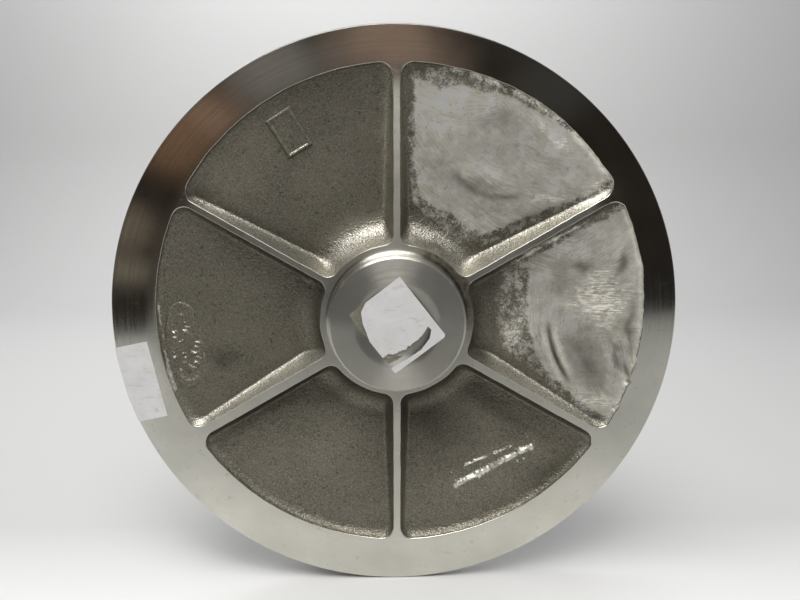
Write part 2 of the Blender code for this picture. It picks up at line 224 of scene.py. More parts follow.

# Painted glints: short bright level strokes where the grinder worked, given as the clouds are
PAINTED_GLINTS = (
    ((150, 14), 20, 19, 0, 1.15),
    ((147, 92), 14, 11, 20, 0.9),
    ((112, 87), 22, 2.6, 3, 1.0),
    ((113, 127), 26, 5, -42, 0.6),
    ((147, -62), 18, 6, -20, 0.9),
    ((90, -14), 8, 16, -25, 0.5),
)

# Raised places in the cast floors: centre, half length, half width, turn in degrees, height. The oval
# and the bar are filed bright above FILED_ABOVE. A pit is its place, radius and depth
PLAIN_PAD = ((-74.5, 132.0), 14.5, 9.5, -59.0, 1.7)
OVAL_PAD = ((-154.0, -18.0), 30.0, 12.5, 95.0, 1.5)
BAR_PAD = ((73.5, -114.5), 37.0, 11.0, 28.5, 1.7)
BAR_MAIN_OFFSET = -2.0
BAR_UPPER_OFFSET = 6.5
BAR_UPPER_HALF = 23.0
FILED_ABOVE = (1.45, 0.5)
PAD_SINK = 1.5
PAD_MARGIN = 2.0
PAD_OVAL_STEPS = 48
PITS = ((-65.0, -98.0, 1.3, 0.9), (-61.0, -120.0, 1.1, 0.8), (-24.0, -62.0, 1.2, 0.8),
        (-124.0, -13.0, 1.2, 0.8), (-159.0, 6.0, 1.0, 0.7), (50.0, 70.0, 1.2, 0.8),
        (38.0, 64.0, 1.0, 0.6), (16.0, 97.0, 1.1, 0.7), (28.0, -117.0, 1.0, 0.7))

# Paper labels, plan millimetres; an outline corner's third value is how ragged the edge after it is
PAPER = 0.12
PAPER_STEP = 1.1
HUB_LABEL_OUTLINE = (
    (1.5, 34.5, 0.0), (-22.2, 16.3, 0.1), (-25.2, 9.8, 0.15), (-24.3, 2.0, 0.15), (-19.4, -11.2, 0.0),
    (-10.3, -23.2, 0.9), (-6.4, -20.2, 0.9), (-3.1, -20.6, 0.6), (2.8, -17.6, 0.9), (6.2, -16.9, 0.5),
    (7.2, -14.3, 0.5), (9.2, -14.4, 0.6), (10.4, -12.4, 0.7), (14.2, -10.2, 0.7), (18.6, -5.0, 0.4),
    (21.3, -0.6, 0.1), (23.6, -3.0, 0.2), (22.6, -9.0, 0.3), (16.7, -17.1, 0.3), (9.0, -22.6, 0.4),
    (1.6, -27.0, 0.3), (-4.4, -30.6, 0.4), (-1.5, -34.6, 0.0), (33.0, -8.4, 0.0), (33.3, -6.4, 0.0),
)
GLUE_PATCHES = (
    ((-23.2, 16.4, 0.2), (-33.8, 8.0, 0.3), (-31.5, 4.6, 0.6), (-26.8, -3.0, 0.6), (-21.6, -9.0, 0.2),
     (-22.5, 9.0, 0.0)),
    ((-9.0, -23.8, 0.3), (-6.2, -27.6, 0.5), (0.5, -24.6, 0.7), (4.5, -21.5, 0.4), (-2.0, -22.6, 0.5)),
)
RIM_LABEL_SIZE = (57.0, 30.2)
RIM_LABEL_CORNER = (-21.8, 178.6)
RIM_LABEL_TURN = radians(191.4)
FOLD_RADIUS = 0.7
FOLD_START = OUTER_RADIUS - 0.5
GLUE_LIFT = 0.07
HUB_PAPER_LIFT = 0.1
RIM_PAPER_LIFT = 0.06

# The photograph's camera, metres and degrees
CAMERA_PLACE = (-0.01015, -0.43587, 0.09438)
CAMERA_TURN = (80.087, 0.0, -1.566)
CAMERA_LENS = 28.8

SHARP_EDGE = radians(32)
STAND_UP = Matrix.Rotation(radians(90), 4, "X") @ Matrix.Scale(MM, 4)


def smooth(value, low, high):
    """Smooth step from 0 at low to 1 at high, for numbers and arrays."""
    part = np.clip((value - low) / (high - low), 0.0, 1.0)
    return part * part * (3 - 2 * part)


def link(obj):
    bpy.context.scene.collection.objects.link(obj)
    return obj


def mesh_object(name, points, faces):
    mesh = bpy.data.meshes.new(name)
    mesh.from_pydata([tuple(p) for p in points], [], faces)
    mesh.update()
    return link(bpy.data.objects.new(name, mesh))


def closed_object(name, shape):
    """An object from a closed bmesh, with its faces pointing out."""
    bmesh.ops.recalc_face_normals(shape, faces=shape.faces)
    mesh = bpy.data.meshes.new(name)
    shape.to_mesh(mesh)
    shape.free()
    return link(bpy.data.objects.new(name, mesh))


def add_mesh(shape, points, faces):
    """Adds points and their faces to a bmesh."""
    part = mesh_object("part", points, faces)
    shape.from_mesh(part.data)
    bpy.data.objects.remove(part)


def ring_faces(rings, count, closed=False):
    """Quads between successive rings of vertices, and from the last ring to the first if closed."""
    sides = [(i, (i + 1) % count) for i in range(count)]
    total = rings * count
    starts = range(0, total if closed else total - count, count)
    quads = [(s + i, s + j, s + count + j, s + count + i) for s in starts for i, j in sides]
    return [tuple(k % total for k in quad) for quad in quads]


def towards(turn):
    return Vector((cos(turn), sin(turn)))


def arc(centre, radius, start, end, steps):
    turns = [start + (end - start) * i / steps for i in range(steps + 1)]
    return [centre + towards(turn) * radius for turn in turns]


def short_arc(centre, radius, start, end, steps):
    """An arc from one direction to another by the shorter way round."""
    sweep = (end - start + pi) % (2 * pi) - pi
    return arc(centre, radius, start, start + sweep, steps)


def turn_of(vector):
    return atan2(vector.y, vector.x)


# The turned blank

def front_height(radius):
    """The shroud's front surface: a cone, then a hollow bend down to the nose."""
    bend_radius, bend_height = SHROUD_BEND
    root_radius, root_height = NOSE_ROOT
    cone = bend_height + (RIM_FRONT - bend_height) * (radius - bend_radius) / (OUTER_RADIUS - bend_radius)
    across = np.clip((bend_radius - radius) / (bend_radius - root_radius), 0.0, 1.0)
    bend = root_height + (bend_height - root_height) * np.sqrt(1 - across ** 2)
    return np.where(radius > bend_radius, cone, bend)


def rounded(corners):
    """A closed profile from (radius, height, rounding, steps) corners."""
    points = []
    for i, (x, y, size, steps) in enumerate(corners):
        here = Vector((x, y))
        if not size:
            points.append(here)
            continue
        back = (Vector(corners[i - 1][:2]) - here).normalized()
        ahead = (Vector(corners[(i + 1) % len(corners)][:2]) - here).normalized()
        half = back.angle(ahead) / 2
        centre = here + (back + ahead).normalized() * size / sin(half)
        start = here + back * size / tan(half) - centre
        end = here + ahead * size / tan(half) - centre
        points += short_arc(centre, size, turn_of(start), turn_of(end), steps)
    return points


def blank_profile():
    rear = [
        (RECESS_FLOOR_RADIUS, -RECESS_DEPTH, RECESS_SOFTNESS, 4),
        (RECESS_RADIUS, 0.0, RECESS_SOFTNESS, 4),
        (BOSS_RADIUS, 0.0, 0.25, 2),
        (BOSS_RADIUS + BOSS_CHAMFER, -BOSS_CHAMFER, 0.5, 3),
        (BOSS_ROOT_RADIUS, RIB_PLANE, BOSS_FILLET, 8),
        (OUTER_RADIUS - EDGE_CHAMFER, RIB_PLANE, 0.2, 2),
        (OUTER_RADIUS, RIB_PLANE - EDGE_CHAMFER, 0.3, 2),
        (OUTER_RADIUS, RIM_FRONT, 0.4, 2),
    ]
    cone = [OUTER_RADIUS + (SHROUD_BEND[0] - OUTER_RADIUS) * i / SHROUD_STEPS for i in range(1, SHROUD_STEPS)]
    turns = [pi / 2 * i / BEND_STEPS for i in range(BEND_STEPS)]
    bend = [SHROUD_BEND[0] - (SHROUD_BEND[0] - NOSE_ROOT[0]) * sin(turn) for turn in turns]
    front = [(radius, float(front_height(radius)), 0.0, 0) for radius in cone + bend]
    nose = [
        (*NOSE_ROOT, 0.0, 0),
        (NOSE_RADIUS, NOSE_HEIGHT + NOSE_CHAMFER, 0.4, 2),
        (NOSE_RADIUS - NOSE_CHAMFER, NOSE_HEIGHT, 0.3, 2),
        (NUT_RECESS_RADIUS, NOSE_HEIGHT, 0.3, 2),
        (NUT_RECESS_RADIUS, NOSE_HEIGHT + NUT_RECESS_DEPTH, 0.3, 2),
        (BORE_RADIUS, NOSE_HEIGHT + NUT_RECESS_DEPTH, 0.4, 2),
        (BORE_RADIUS, -RECESS_DEPTH, 0.4, 2),
    ]
    return rounded(rear + front + nose)


def turned(name, profile, steps=TURNING_STEPS):
    """A closed profile of (radius, height) turned about z."""
    turns = np.arange(steps) * 2 * pi / steps
    points = [(p[0] * cos(t), p[0] * sin(t), p[1]) for p in profile for t in turns]
    shape = bmesh.new()
    add_mesh(shape, points, ring_faces(len(profile), steps, closed=True))
    return closed_object(name, shape)


def make_blank():
    """The turned casting, its as-cast front a little wavy."""
    blank = turned("blank", blank_profile())
    for vertex in blank.data.vertices:
        x, y, z = vertex.co
        radius = hypot(x, y)
        if NOSE_ROOT[0] + 4 < radius < OUTER_RADIUS - 4 and z < RIM_FRONT - 0.2:
            vertex.co.z += FRONT_WAVE * noise.noise(Vector((x / 14, y / 14, 7.0)))
            vertex.co.z += FRONT_WAVE / 2 * noise.noise(Vector((x / 5, y / 5, 3.0)))
    return blank


# Pockets

def floor_depth(radius):
    """How far a pocket's conical floor lies below the rib plane."""
    reach = np.clip((radius - FLOOR_RADIUS_HUB) / (FLOOR_RADIUS_RIM - FLOOR_RADIUS_HUB), 0.0, 1.0)
    return FLOOR_DEPTH_HUB + (FLOOR_DEPTH_RIM - FLOOR_DEPTH_HUB) * reach


def wall_line(rib_angle, side, at_hub, at_rim):
    """A pocket wall beside a rib as a unit normal into the pocket, its offset and its direction."""
    along = towards(rib_angle)
    across = Vector((-along.y, along.x)) * side
    half = RIB_WIDTHS[round(degrees(rib_angle)) % 360] / 2
    near_hub = along * POCKET_INNER_RADIUS + across * (half + at_hub)
    near_rim = along * POCKET_OUTER_RADIUS + across * (half + at_rim)
    run = (near_rim - near_hub).normalized()
    normal = Vector((-run.y, run.x)) * side
    return normal, normal.dot(near_hub), along


def corner(wall, centre, distance, fillet):
    """Centre of the fillet circle that lies a distance from centre and touches the wall."""
    normal, offset, along = wall
    height = offset + fillet - normal.dot(centre)
    run = Vector((normal.y, -normal.x))
    if run.dot(along) < 0:
        run = -run
    return centre + normal * height + run * sqrt(distance ** 2 - height ** 2)


def arc_between(ends, centre, radius, steps):
    """One arc side of a pocket, with the halves of its two corner fillets at its ends."""
    start, finish = (turn_of(end[0] - centre) for end in ends)
    middle = short_arc(centre, radius, start, finish, steps)[1:-1]
    return ends[0][::-1] + middle + ends[1]


def pocket_sides(first_rib, wall_offsets, hub_offset, rim_offset, tightness):
    """The four sides of a pocket outline: wall, outer arc, other wall, inner arc."""
    walls = (wall_line(radians(first_rib), 1, *wall_offsets),
             wall_line(radians(first_rib + 60), -1, *wall_offsets))
    straight_steps, arc_steps = FLOOR_STEPS[first_rib]
    hub_centre = Vector((0, 0))
    inner = POCKET_INNER_RADIUS + hub_offset
    outer = POCKET_OUTER_RADIUS - rim_offset
    fillet_in = POCKET_CORNER_INNER * tightness
    fillet_out = POCKET_CORNER_OUTER * tightness
    half = CORNER_HALF_STEPS
    corners = []
    for wall in walls:
        low = corner(wall, hub_centre, inner + fillet_in, fillet_in)
        high = corner(wall, POCKET_OUTER_CENTRE, outer - fillet_out, fillet_out)
        to_wall = turn_of(-wall[0])
        corners.append((short_arc(low, fillet_in, turn_of(-low), to_wall, 2 * half),
                        short_arc(high, fillet_out, to_wall, turn_of(high - POCKET_OUTER_CENTRE), 2 * half)))
    sides = []
    for low, high in corners:
        straight = [low[-1].lerp(high[0], i / straight_steps) for i in range(1, straight_steps)]
        sides.append(low[half:] + straight + high[:half + 1])
    inner_ends = [low[:half + 1] for low, high in corners]
    outer_ends = [high[half:][::-1] for low, high in corners]
    inner_arc = arc_between(inner_ends, hub_centre, inner, arc_steps)
    outer_arc = arc_between(outer_ends, POCKET_OUTER_CENTRE, outer, arc_steps)
    return sides[0], outer_arc, sides[1], inner_arc


def loop_of(sides):
    """One anticlockwise loop of points from the four sides."""
    wall, outer, other_wall, inner = sides
    return wall[:-1] + outer[:-1] + other_wall[::-1][:-1] + inner[::-1][:-1]


def floor_grid(sides, ring):
    """Points inside a pocket's floor and its quads, blended from the four sides of its rim."""
    wall, outer, other_wall, inner = sides
    rows, columns = len(wall) - 1, len(outer) - 1
    index = {}
    for i in range(rows):
        index[i, 0] = ring + i
        index[rows - i, columns] = ring + rows + columns + i
    for j in range(columns):
        index[rows, j] = ring + rows + j
        index[0, columns - j] = ring + 2 * rows + columns + j
    points = []
    start = ring + 2 * (rows + columns)
    for i in range(rows + 1):
        for j in range(columns + 1):
            if (i, j) in index:
                continue
            u, v = j / columns, i / rows
            edges = wall[i].lerp(other_wall[i], u) + inner[j].lerp(outer[j], v)
            corners = inner[0].lerp(inner[-1], u).lerp(outer[0].lerp(outer[-1], u), v)
            index[i, j] = start + len(points)
            points.append(edges - corners)
    faces = [(index[i, j], index[i + 1, j], index[i + 1, j + 1], index[i, j + 1])
             for i in range(rows) for j in range(columns)]
    return points, faces


def pocket_points(first_rib):
    """A pocket cutter's points as rows of x, y, z and share of the way down, and its faces."""
    rows = []
    for height, flare in LIP_STEPS:
        sides = pocket_sides(first_rib, (-flare, -flare), -flare, -flare, 1.0)
        rows += [(p.x, p.y, RIB_PLANE + height, 0.0) for p in loop_of(sides)]
    count = len(loop_of(sides))
    for step in range(1, WALL_STEPS + 1):
        turn = pi / 2 * step / WALL_STEPS
        down, out = sin(turn), 1 - cos(turn)
        lean = WALL_LEAN * down + (1 - WALL_LEAN) * out
        sides = pocket_sides(first_rib, (WALL_SPREAD_HUB * lean, WALL_SPREAD_RIM * lean),
                             HUB_SPREAD * out, RIM_SPREAD * out, 1 - CORNER_TIGHTENING * out)
        rows += [(p.x, p.y, RIB_PLANE - floor_depth(p.length) * down, down) for p in loop_of(sides)]
    rings = len(LIP_STEPS) + WALL_STEPS
    inside, floor = floor_grid(sides, (rings - 1) * count)
    rows += [(p.x, p.y, RIB_PLANE - floor_depth(p.length), 1.0) for p in inside]
    return np.array(rows), ring_faces(rings, count) + floor + [tuple(range(count))]


def noises(x, y, scale, seed):
    """Smooth noise from -1 to 1 at each point, with features about scale millimetres wide."""
    return np.array([noise.noise(Vector((a / scale, b / scale, seed))) for a, b in zip(x, y)])


def turned_into(x, y, centre, angle):
    """Places along and across a frame that is turned by an angle in degrees about a centre."""
    turn = radians(angle)
    dx, dy = x - centre[0], y - centre[1]
    return dx * cos(turn) + dy * sin(turn), dy * cos(turn) - dx * sin(turn)


def plain_pad(x, y):
    """A plain rectangular casting pad with a raised border."""
    centre, length, width, turn, height = PLAIN_PAD
    along, across = turned_into(x, y, centre, turn)
    inside = np.minimum(length - np.abs(along), width - np.abs(across))
    border = smooth(inside, 0.0, 0.6) * smooth(-inside, -2.6, -1.9)
    return height * (smooth(inside, -0.7, 0.3) - 0.3 + 0.45 * border) + 0.1 * noises(x, y, 2.0, 3.0)


def oval_pad(x, y):
    """A plain oval pad: a rubbed-down bead round a rough low field."""
    centre, length, width, turn, height = OVAL_PAD
    along, across = turned_into(x, y, centre, turn)
    reach = np.hypot(along / length, across / width)
    bead = np.exp(-((reach - 1) * width / 1.5) ** 2) * (0.75 + 0.4 * noises(x, y, 8.0, 2.0))
    lumps = np.maximum(noises(x, y * 1.7, 4.0, 5.0), 0.0) * smooth(1.0 - reach, 0.0, 0.3)
    return height * (bead + 1.2 * lumps - 0.2 * smooth(reach, 0.9, 1.1))


def bar_pad(x, y):
    """A rough bar that was filed over: a broken ridge, a fainter one above it and lumps below."""
    centre, length, width, turn, height = BAR_PAD
    along, across = turned_into(x, y, centre, turn)
    bent = across + 0.9 * noises(along, 0 * across, 9.0, 2.0)
    broken = 0.9 + 0.7 * noises(along, across, 4.5, 11.0) + 0.3 * noises(along, across, 1.8, 4.0)
    main = np.exp(-((bent - BAR_MAIN_OFFSET) / 2.3) ** 2) * smooth(length - np.abs(along), 0.0, 5.0)
    upper = np.exp(-((bent - BAR_UPPER_OFFSET + 0.09 * along) / 1.2) ** 2)
    upper *= 0.6 * smooth(BAR_UPPER_HALF - np.abs(along), 0.0, 5.0)
    lumps = 1.6 * np.maximum(noises(along, across, 3.2, 14.0) - 0.3, 0.0)
    lumps *= smooth(width - np.abs(across), 0.0, 3.0)
    return height * ((main + upper) * np.clip(broken, 0.1, 1.3) + lumps - 0.15)


def make_pad(name, pad, profile, step, rounded_ends):
    """A raised cast pad whose foot reaches under the pocket's floor."""
    centre, length, width, turn, _ = pad
    length, width = length + PAD_MARGIN, width + PAD_MARGIN
    if rounded_ends:
        turns = [2 * pi * i / PAD_OVAL_STEPS for i in range(PAD_OVAL_STEPS)]
        flat = [(length * cos(t), width * sin(t)) for t in turns]
    else:
        flat = [(-length, -width), (length, -width), (length, width), (-length, width)]
    spin = Matrix.Rotation(radians(turn), 2)
    outline = [Vector(centre) + spin @ Vector(p) for p in flat]
    outline = ragged_outline([(*p, 0.0) for p in outline], step)

    def pad_place(x, y, height):
        rise = float(profile(np.array([x]), np.array([y]))[0]) if height else -PAD_SINK
        return x, y, RIB_PLANE - floor_depth(Vector((x, y)).length) + rise

    return sheet(name, outline, 1.0, pad_place, step)


def pits(x, y):
    depth = np.zeros_like(x)
    for px, py, radius, deep in PITS:
        depth -= deep * np.exp(-(np.hypot(x - px, y - py) / radius) ** 2)
    return depth


def grinding(x, y):
    """Ridges and gouges along arcs, with soft ends."""
    height = np.zeros_like(x)
    for centre, radius, start, end, width, tall in GRIND_ARCS:
        dx, dy = x - centre[0], y - centre[1]
        turn = np.degrees(np.arctan2(dy, dx)) % 360
        along = smooth(turn, start, start + GRIND_FADE) * smooth(-turn, -end, -end + GRIND_FADE)
        height += tall * along * np.exp(-((np.hypot(dx, dy) - radius) / width) ** 2)
    return height


def inside_of(x, y, outline):
    """Signed distance to a polygon, positive inside."""
    points = np.array(outline, float)
    nearest = np.full_like(x, 1e9)
    inside = np.zeros(x.shape, bool)
    for (ax, ay), (bx, by) in zip(points, np.roll(points, -1, axis=0)):
        part = ((x - ax) * (bx - ax) + (y - ay) * (by - ay)) / ((bx - ax) ** 2 + (by - ay) ** 2)
        part = np.clip(part, 0, 1)
        nearest = np.minimum(nearest, np.hypot(x - ax - part * (bx - ax), y - ay - part * (by - ay)))
        crosses = (ay > y) != (by > y)
        if by != ay:
            inside ^= crosses & (x < ax + (y - ay) * (bx - ax) / (by - ay))
    return np.where(inside, nearest, -nearest)


def ground_share(x, y):
    """From -1, as cast, over 0, only high spots ground, to 1, ground clean."""
    clean = np.maximum.reduce([inside_of(x, y, outline) for outline in GROUND_CLEAN])
    patchy = np.maximum.reduce([inside_of(x, y, outline) for outline in GROUND_PATCHY])
    share = np.maximum(clean / CLEAN_REACH, np.minimum(patchy / GROUND_REACH, 0.0))
    return np.clip(share, -1.0, 1.0)


def edge_push(x, y):
    """How far the grinder pushed the ring's inner edge outwards."""
    turn = np.arctan2(y, x)
    end, full, start = EDGE_PUSH_RANGE
    broad = EDGE_PUSH * smooth(turn, end - EDGE_FADE, end + EDGE_FADE) * smooth(-turn, -start, -full)
    ragged = broad / EDGE_PUSH * (0.35 * noises(x, y, 7.0, 1.0) + 0.25 * noises(x, y, 2.6, 6.0))
    nicks = sum(deep * np.exp(-((np.degrees(turn) - at) / wide) ** 2) for at, wide, deep in EDGE_NICKS)
    return np.maximum(broad + ragged + nicks, 0.0)


def cast_surface(rows):
    """Moves a pocket's points to their rough, padded and ground places."""
    x, y, z, down = rows.T.copy()
    radius = np.hypot(x, y)
    wobble = 0.28 * (1 - 0.5 * down)
    moved_x = x + wobble * noises(x, y, 11.0, 21.0) + 0.1 * noises(x, y, 3.5, 8.0)
    moved_y = y + wobble * noises(x, y, 11.0, 33.0) + 0.1 * noises(x, y, 3.5, 9.0)
    near_edge = smooth(np.hypot(x - POCKET_OUTER_CENTRE.x, y - POCKET_OUTER_CENTRE.y),
                       POCKET_OUTER_RADIUS - 12, POCKET_OUTER_RADIUS - 2)
    push = edge_push(x, y) * near_edge
    moved_x += push * x / radius
    moved_y += push * y / radius
    ground = smooth(ground_share(x, y), -0.2, 0.6)
    rough = 0.14 * noises(x, y, 19.0, 40.0) + 0.05 * noises(x, y, 7.0, 41.0) + 0.04 * noises(x, y, 2.8, 42.0)
    hand = 0.34 * noises(x, y, 24.0, 50.0) + 0.13 * noises(x, y * 2.0, 9.0, 51.0)
    relief = rough * (1 - 0.7 * ground) + hand * ground + pits(x, y) + grinding(x, y)
    z += relief * smooth(down, 0.35, 0.95)
    return np.column_stack((moved_x, moved_y, z))


def make_pockets():
    shape = bmesh.new()
    for rib in sorted(RIB_WIDTHS):
        rows, faces = pocket_points(rib)
        add_mesh(shape, cast_surface(rows), faces)
    return closed_object("pockets", shape)


# Vanes

def tip_height(radius):
    slope = (VANE_TIP_EYE - VANE_TIP_RIM) / (VANE_INNER_RADIUS - OUTER_RADIUS)
    return VANE_TIP_EYE + slope * (radius - VANE_INNER_RADIUS)


def vane_plan(turn):
    """Both sides of a vane's spiral, its round inner end and the outward direction at each point."""
    wrap = log(VANE_OUTER_RADIUS / VANE_INNER_RADIUS) / tan(VANE_ANGLE)
    front, back = [], []
    for i in range(VANE_POINTS):
        part = i / (VANE_POINTS - 1)
        radius = VANE_INNER_RADIUS * exp(tan(VANE_ANGLE) * wrap * part)
        middle = towards(turn + wrap * part) * radius
        heading = turn + wrap * part + pi / 2 - VANE_ANGLE
        side = Vector((-sin(heading), cos(heading)))
        half = (VANE_NOSE_THICKNESS + (VANE_THICKNESS - VANE_NOSE_THICKNESS) * min(part * VANE_GROWTH, 1)) / 2
        front.append((middle + side * half, side))
        back.append((middle - side * half, -side))
    start = (front[0][0] + back[0][0]) / 2
    to_back = turn_of(back[0][0] - start)
    ends = arc(start, VANE_NOSE_THICKNESS / 2, to_back, to_back - pi, VANE_END_STEPS)[1:-1]
    round_end = [(p, (p - start).normalized()) for p in ends]
    return back[::-1] + round_end + front


def vane_levels():
    """Rings up a vane's side as height above the shroud or below the tip, and outward offset."""
    levels = [("root", -VANE_SINK, VANE_FILLET)]
    for level in VANE_WALL_LEVELS:
        rise = min(level, VANE_FILLET) / VANE_FILLET
        levels.append(("root", level, VANE_FILLET * (1 - sqrt(1 - (1 - rise) ** 2))))
    for inset in (1.0, 0.3, 0.0):
        levels.append(("tip", VANE_TIP_ROUND * inset, -VANE_TIP_ROUND * (1 - inset) ** 2))
    return levels


def add_vane(shape, turn):
    """Adds a vane as rings up its side, closed at its root and its tip."""
    plan, levels = vane_plan(turn), vane_levels()
    count = len(plan)
    points = []
    for where, height, offset in levels:
        for point, outward in plan:
            place = point + outward * offset
            radius = min(place.length, OUTER_RADIUS)
            level = float(front_height(radius)) - height if where == "root" else tip_height(radius) + height
            points.append((place.x, place.y, level))
    faces = ring_faces(len(levels), count)
    for start in (0, len(points) - count):
        for i in range(count // 2):
            near, far = start + i, start + count - 1 - i
            if far - 1 > near + 1:
                faces.append((near, near + 1, far - 1, far))
            elif far > near + 1:
                faces.append((near, near + 1, far))
    add_mesh(shape, points, faces)


def make_vanes():
    shape = bmesh.new()
    for i in range(VANE_COUNT):
        add_vane(shape, VANE_TURN + i * 2 * pi / VANE_COUNT)
    return closed_object("vanes", shape)


# Joining

def apply_modifiers(obj):
    """Gives an object the mesh that its modifiers make."""
    bpy.context.view_layer.update()
    mesh = bpy.data.meshes.new_from_object(obj.evaluated_get(bpy.context.evaluated_depsgraph_get()))
    obj.modifiers.clear()
    obj.data = mesh


def combine(target, tool, operation):
    """Joins two closed meshes at once and removes the tool."""
    modifier = target.modifiers.new(tool.name, "BOOLEAN")
    modifier.operation = operation
    modifier.solver = "MANIFOLD"
    modifier.object = tool
    apply_modifiers(target)
    bpy.data.objects.remove(tool)


def block(name, size, centre):
    shape = bmesh.new()
    bmesh.ops.create_cube(shape, size=1, matrix=Matrix.Translation(centre) @ Matrix.Diagonal((*size, 1)))
    return closed_object(name, shape)


def make_casting_shape():
    casting = make_blank()
    vanes = make_vanes()
    reach = 10.0
    limit = turned("vane_limit", [Vector(p) for p in (
        (NOSE_RADIUS + reach, 0.0), (VANE_END_RADIUS, 0.0),
        (VANE_END_RADIUS, NOSE_HEIGHT - reach), (NOSE_RADIUS + reach, NOSE_HEIGHT - reach))])
    combine(vanes, limit, "INTERSECT")
    combine(casting, vanes, "UNION")
    combine(casting, make_pockets(), "DIFFERENCE")
    pads = (("plain_pad", PLAIN_PAD, plain_pad, 0.6, False),
            ("oval_pad", OVAL_PAD, oval_pad, 1.0, True),
            ("bar_pad", BAR_PAD, bar_pad, 0.8, False))
    for pad in pads:
        combine(casting, make_pad(*pad), "UNION")
    length = 2 * reach - NOSE_HEIGHT
    keyway = block("keyway", (KEYWAY_WIDTH, KEYWAY_TOP, length), (0, KEYWAY_TOP / 2, NOSE_HEIGHT / 2))
    combine(casting, keyway, "DIFFERENCE")
    casting.name = "casting"
    return casting


def stand(obj):
    """Turns a plan-frame object into world metres, in its mesh, and shades it with flat faces kept flat."""
    obj.data.transform(STAND_UP)
    obj.data.shade_smooth()
    obj.data.set_sharp_from_angle(angle=SHARP_EDGE)
    weighted = obj.modifiers.new("weighted", "WEIGHTED_NORMAL")
    weighted.keep_sharp = True
    apply_modifiers(obj)


def finish_piece(piece, node, materials):
    for material in materials:
        piece.data.materials.append(material)
    stand(piece)
    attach(piece, "root")
    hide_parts(node)


def vectors(items, name):
    """One vector of every mesh item, as arrays of x, y and z."""
    values = np.empty(len(items) * 3)
    items.foreach_get(name, values)
    return values.reshape(-1, 3).T


def sort_faces(casting):
    """Faces turned bright take material 0, as-cast ones 1, and the coarser turned hub 2."""
    faces = casting.data.polygons
    x, y, z = vectors(faces, "center")
    up = vectors(faces, "normal")[2]
    radius = np.hypot(x, y)
    margin = 0.5
    flat_rear = (z > RIB_PLANE - LIP_DEPTH) & (up > 0.45) & (radius > BOSS_ROOT_RADIUS)
    boss = (z > RIB_PLANE - 0.31) & (radius < BOSS_ROOT_RADIUS + BOSS_FILLET + margin)
    rim = radius > OUTER_RADIUS - EDGE_CHAMFER - margin
    tips = (np.abs(z - tip_height(radius)) < 0.6) & (up < -0.5)
    nose = (radius < NOSE_ROOT[0]) & (z < NOSE_ROOT[1] + 1)
    bore = radius < NUT_RECESS_RADIUS + margin
    hub = boss | nose | bore
    index = np.where(hub, 2, np.where(flat_rear | rim | tips, 0, 1)).astype(np.int32)
    faces.foreach_set("material_index", index)


def clouds_at(x, y, clouds):
    """The sum of soft elliptical clouds with uneven edges."""
    bent_x = x + CLOUD_REACH * noises(x, y, 14.0, 60.0) + CLOUD_REACH / 3 * noises(x, y, 5.0, 61.0)
    bent_y = y + CLOUD_REACH * noises(x, y, 14.0, 62.0) + CLOUD_REACH / 3 * noises(x, y, 5.0, 63.0)
    total = np.zeros_like(x)
    for centre, length, width, turn, strength in clouds:
        along, across = turned_into(bent_x, bent_y, centre, turn)
        total += strength * np.exp(-(along / length) ** 2 - (across / width) ** 2)
    return total


def filed_share(x, y, rise):
    """How much of a pad's high spots a file has cut bright."""
    share = np.full_like(x, -1.0)
    for (centre, length, width, turn, _), level in zip((OVAL_PAD, BAR_PAD), FILED_ABOVE):
        along, across = turned_into(x, y, centre, turn)
        inside = (np.abs(along) < length + PAD_MARGIN) & (np.abs(across) < width + PAD_MARGIN)
        share = np.where(inside, np.clip((rise - level) / 0.5, -1.0, 0.6), share)
    return share


def mark_surface(casting):
    """Stores how ground each point inside the pockets is, its stains with painted shade and highlight, and
    its painted glints.
    """
    mesh = casting.data
    x, y, z = vectors(mesh.vertices, "co")
    radius = np.hypot(x, y)
    floor = RIB_PLANE - floor_depth(radius)
    rear = (z < RIB_PLANE + 1) & (z > (floor + front_height(radius)) / 2)
    scored = grinding(x, y)
    # Painted shade in the grinder's gouges and painted highlight on its ridges
    gouge_shade_ridge_highlight = np.clip(-0.7 * scored, 0.0, 0.5) - np.clip(0.9 * scored, 0.0, 0.4)
    values = {
        "ground": np.maximum(ground_share(x, y), filed_share(x, y, z - floor)),
        "stain_and_light": clouds_at(x, y, STAINS_AND_PAINTED_LIGHT) + gouge_shade_ridge_highlight,
        "painted_glint": clouds_at(x, y, PAINTED_GLINTS),
    }
    for name, value in values.items():
        value[~rear] = -1.0 if name == "ground" else 0.0
        attribute = mesh.attributes.new(name, "FLOAT", "POINT")
        attribute.data.foreach_set("value", value.astype(np.float32))


# Shader graphs

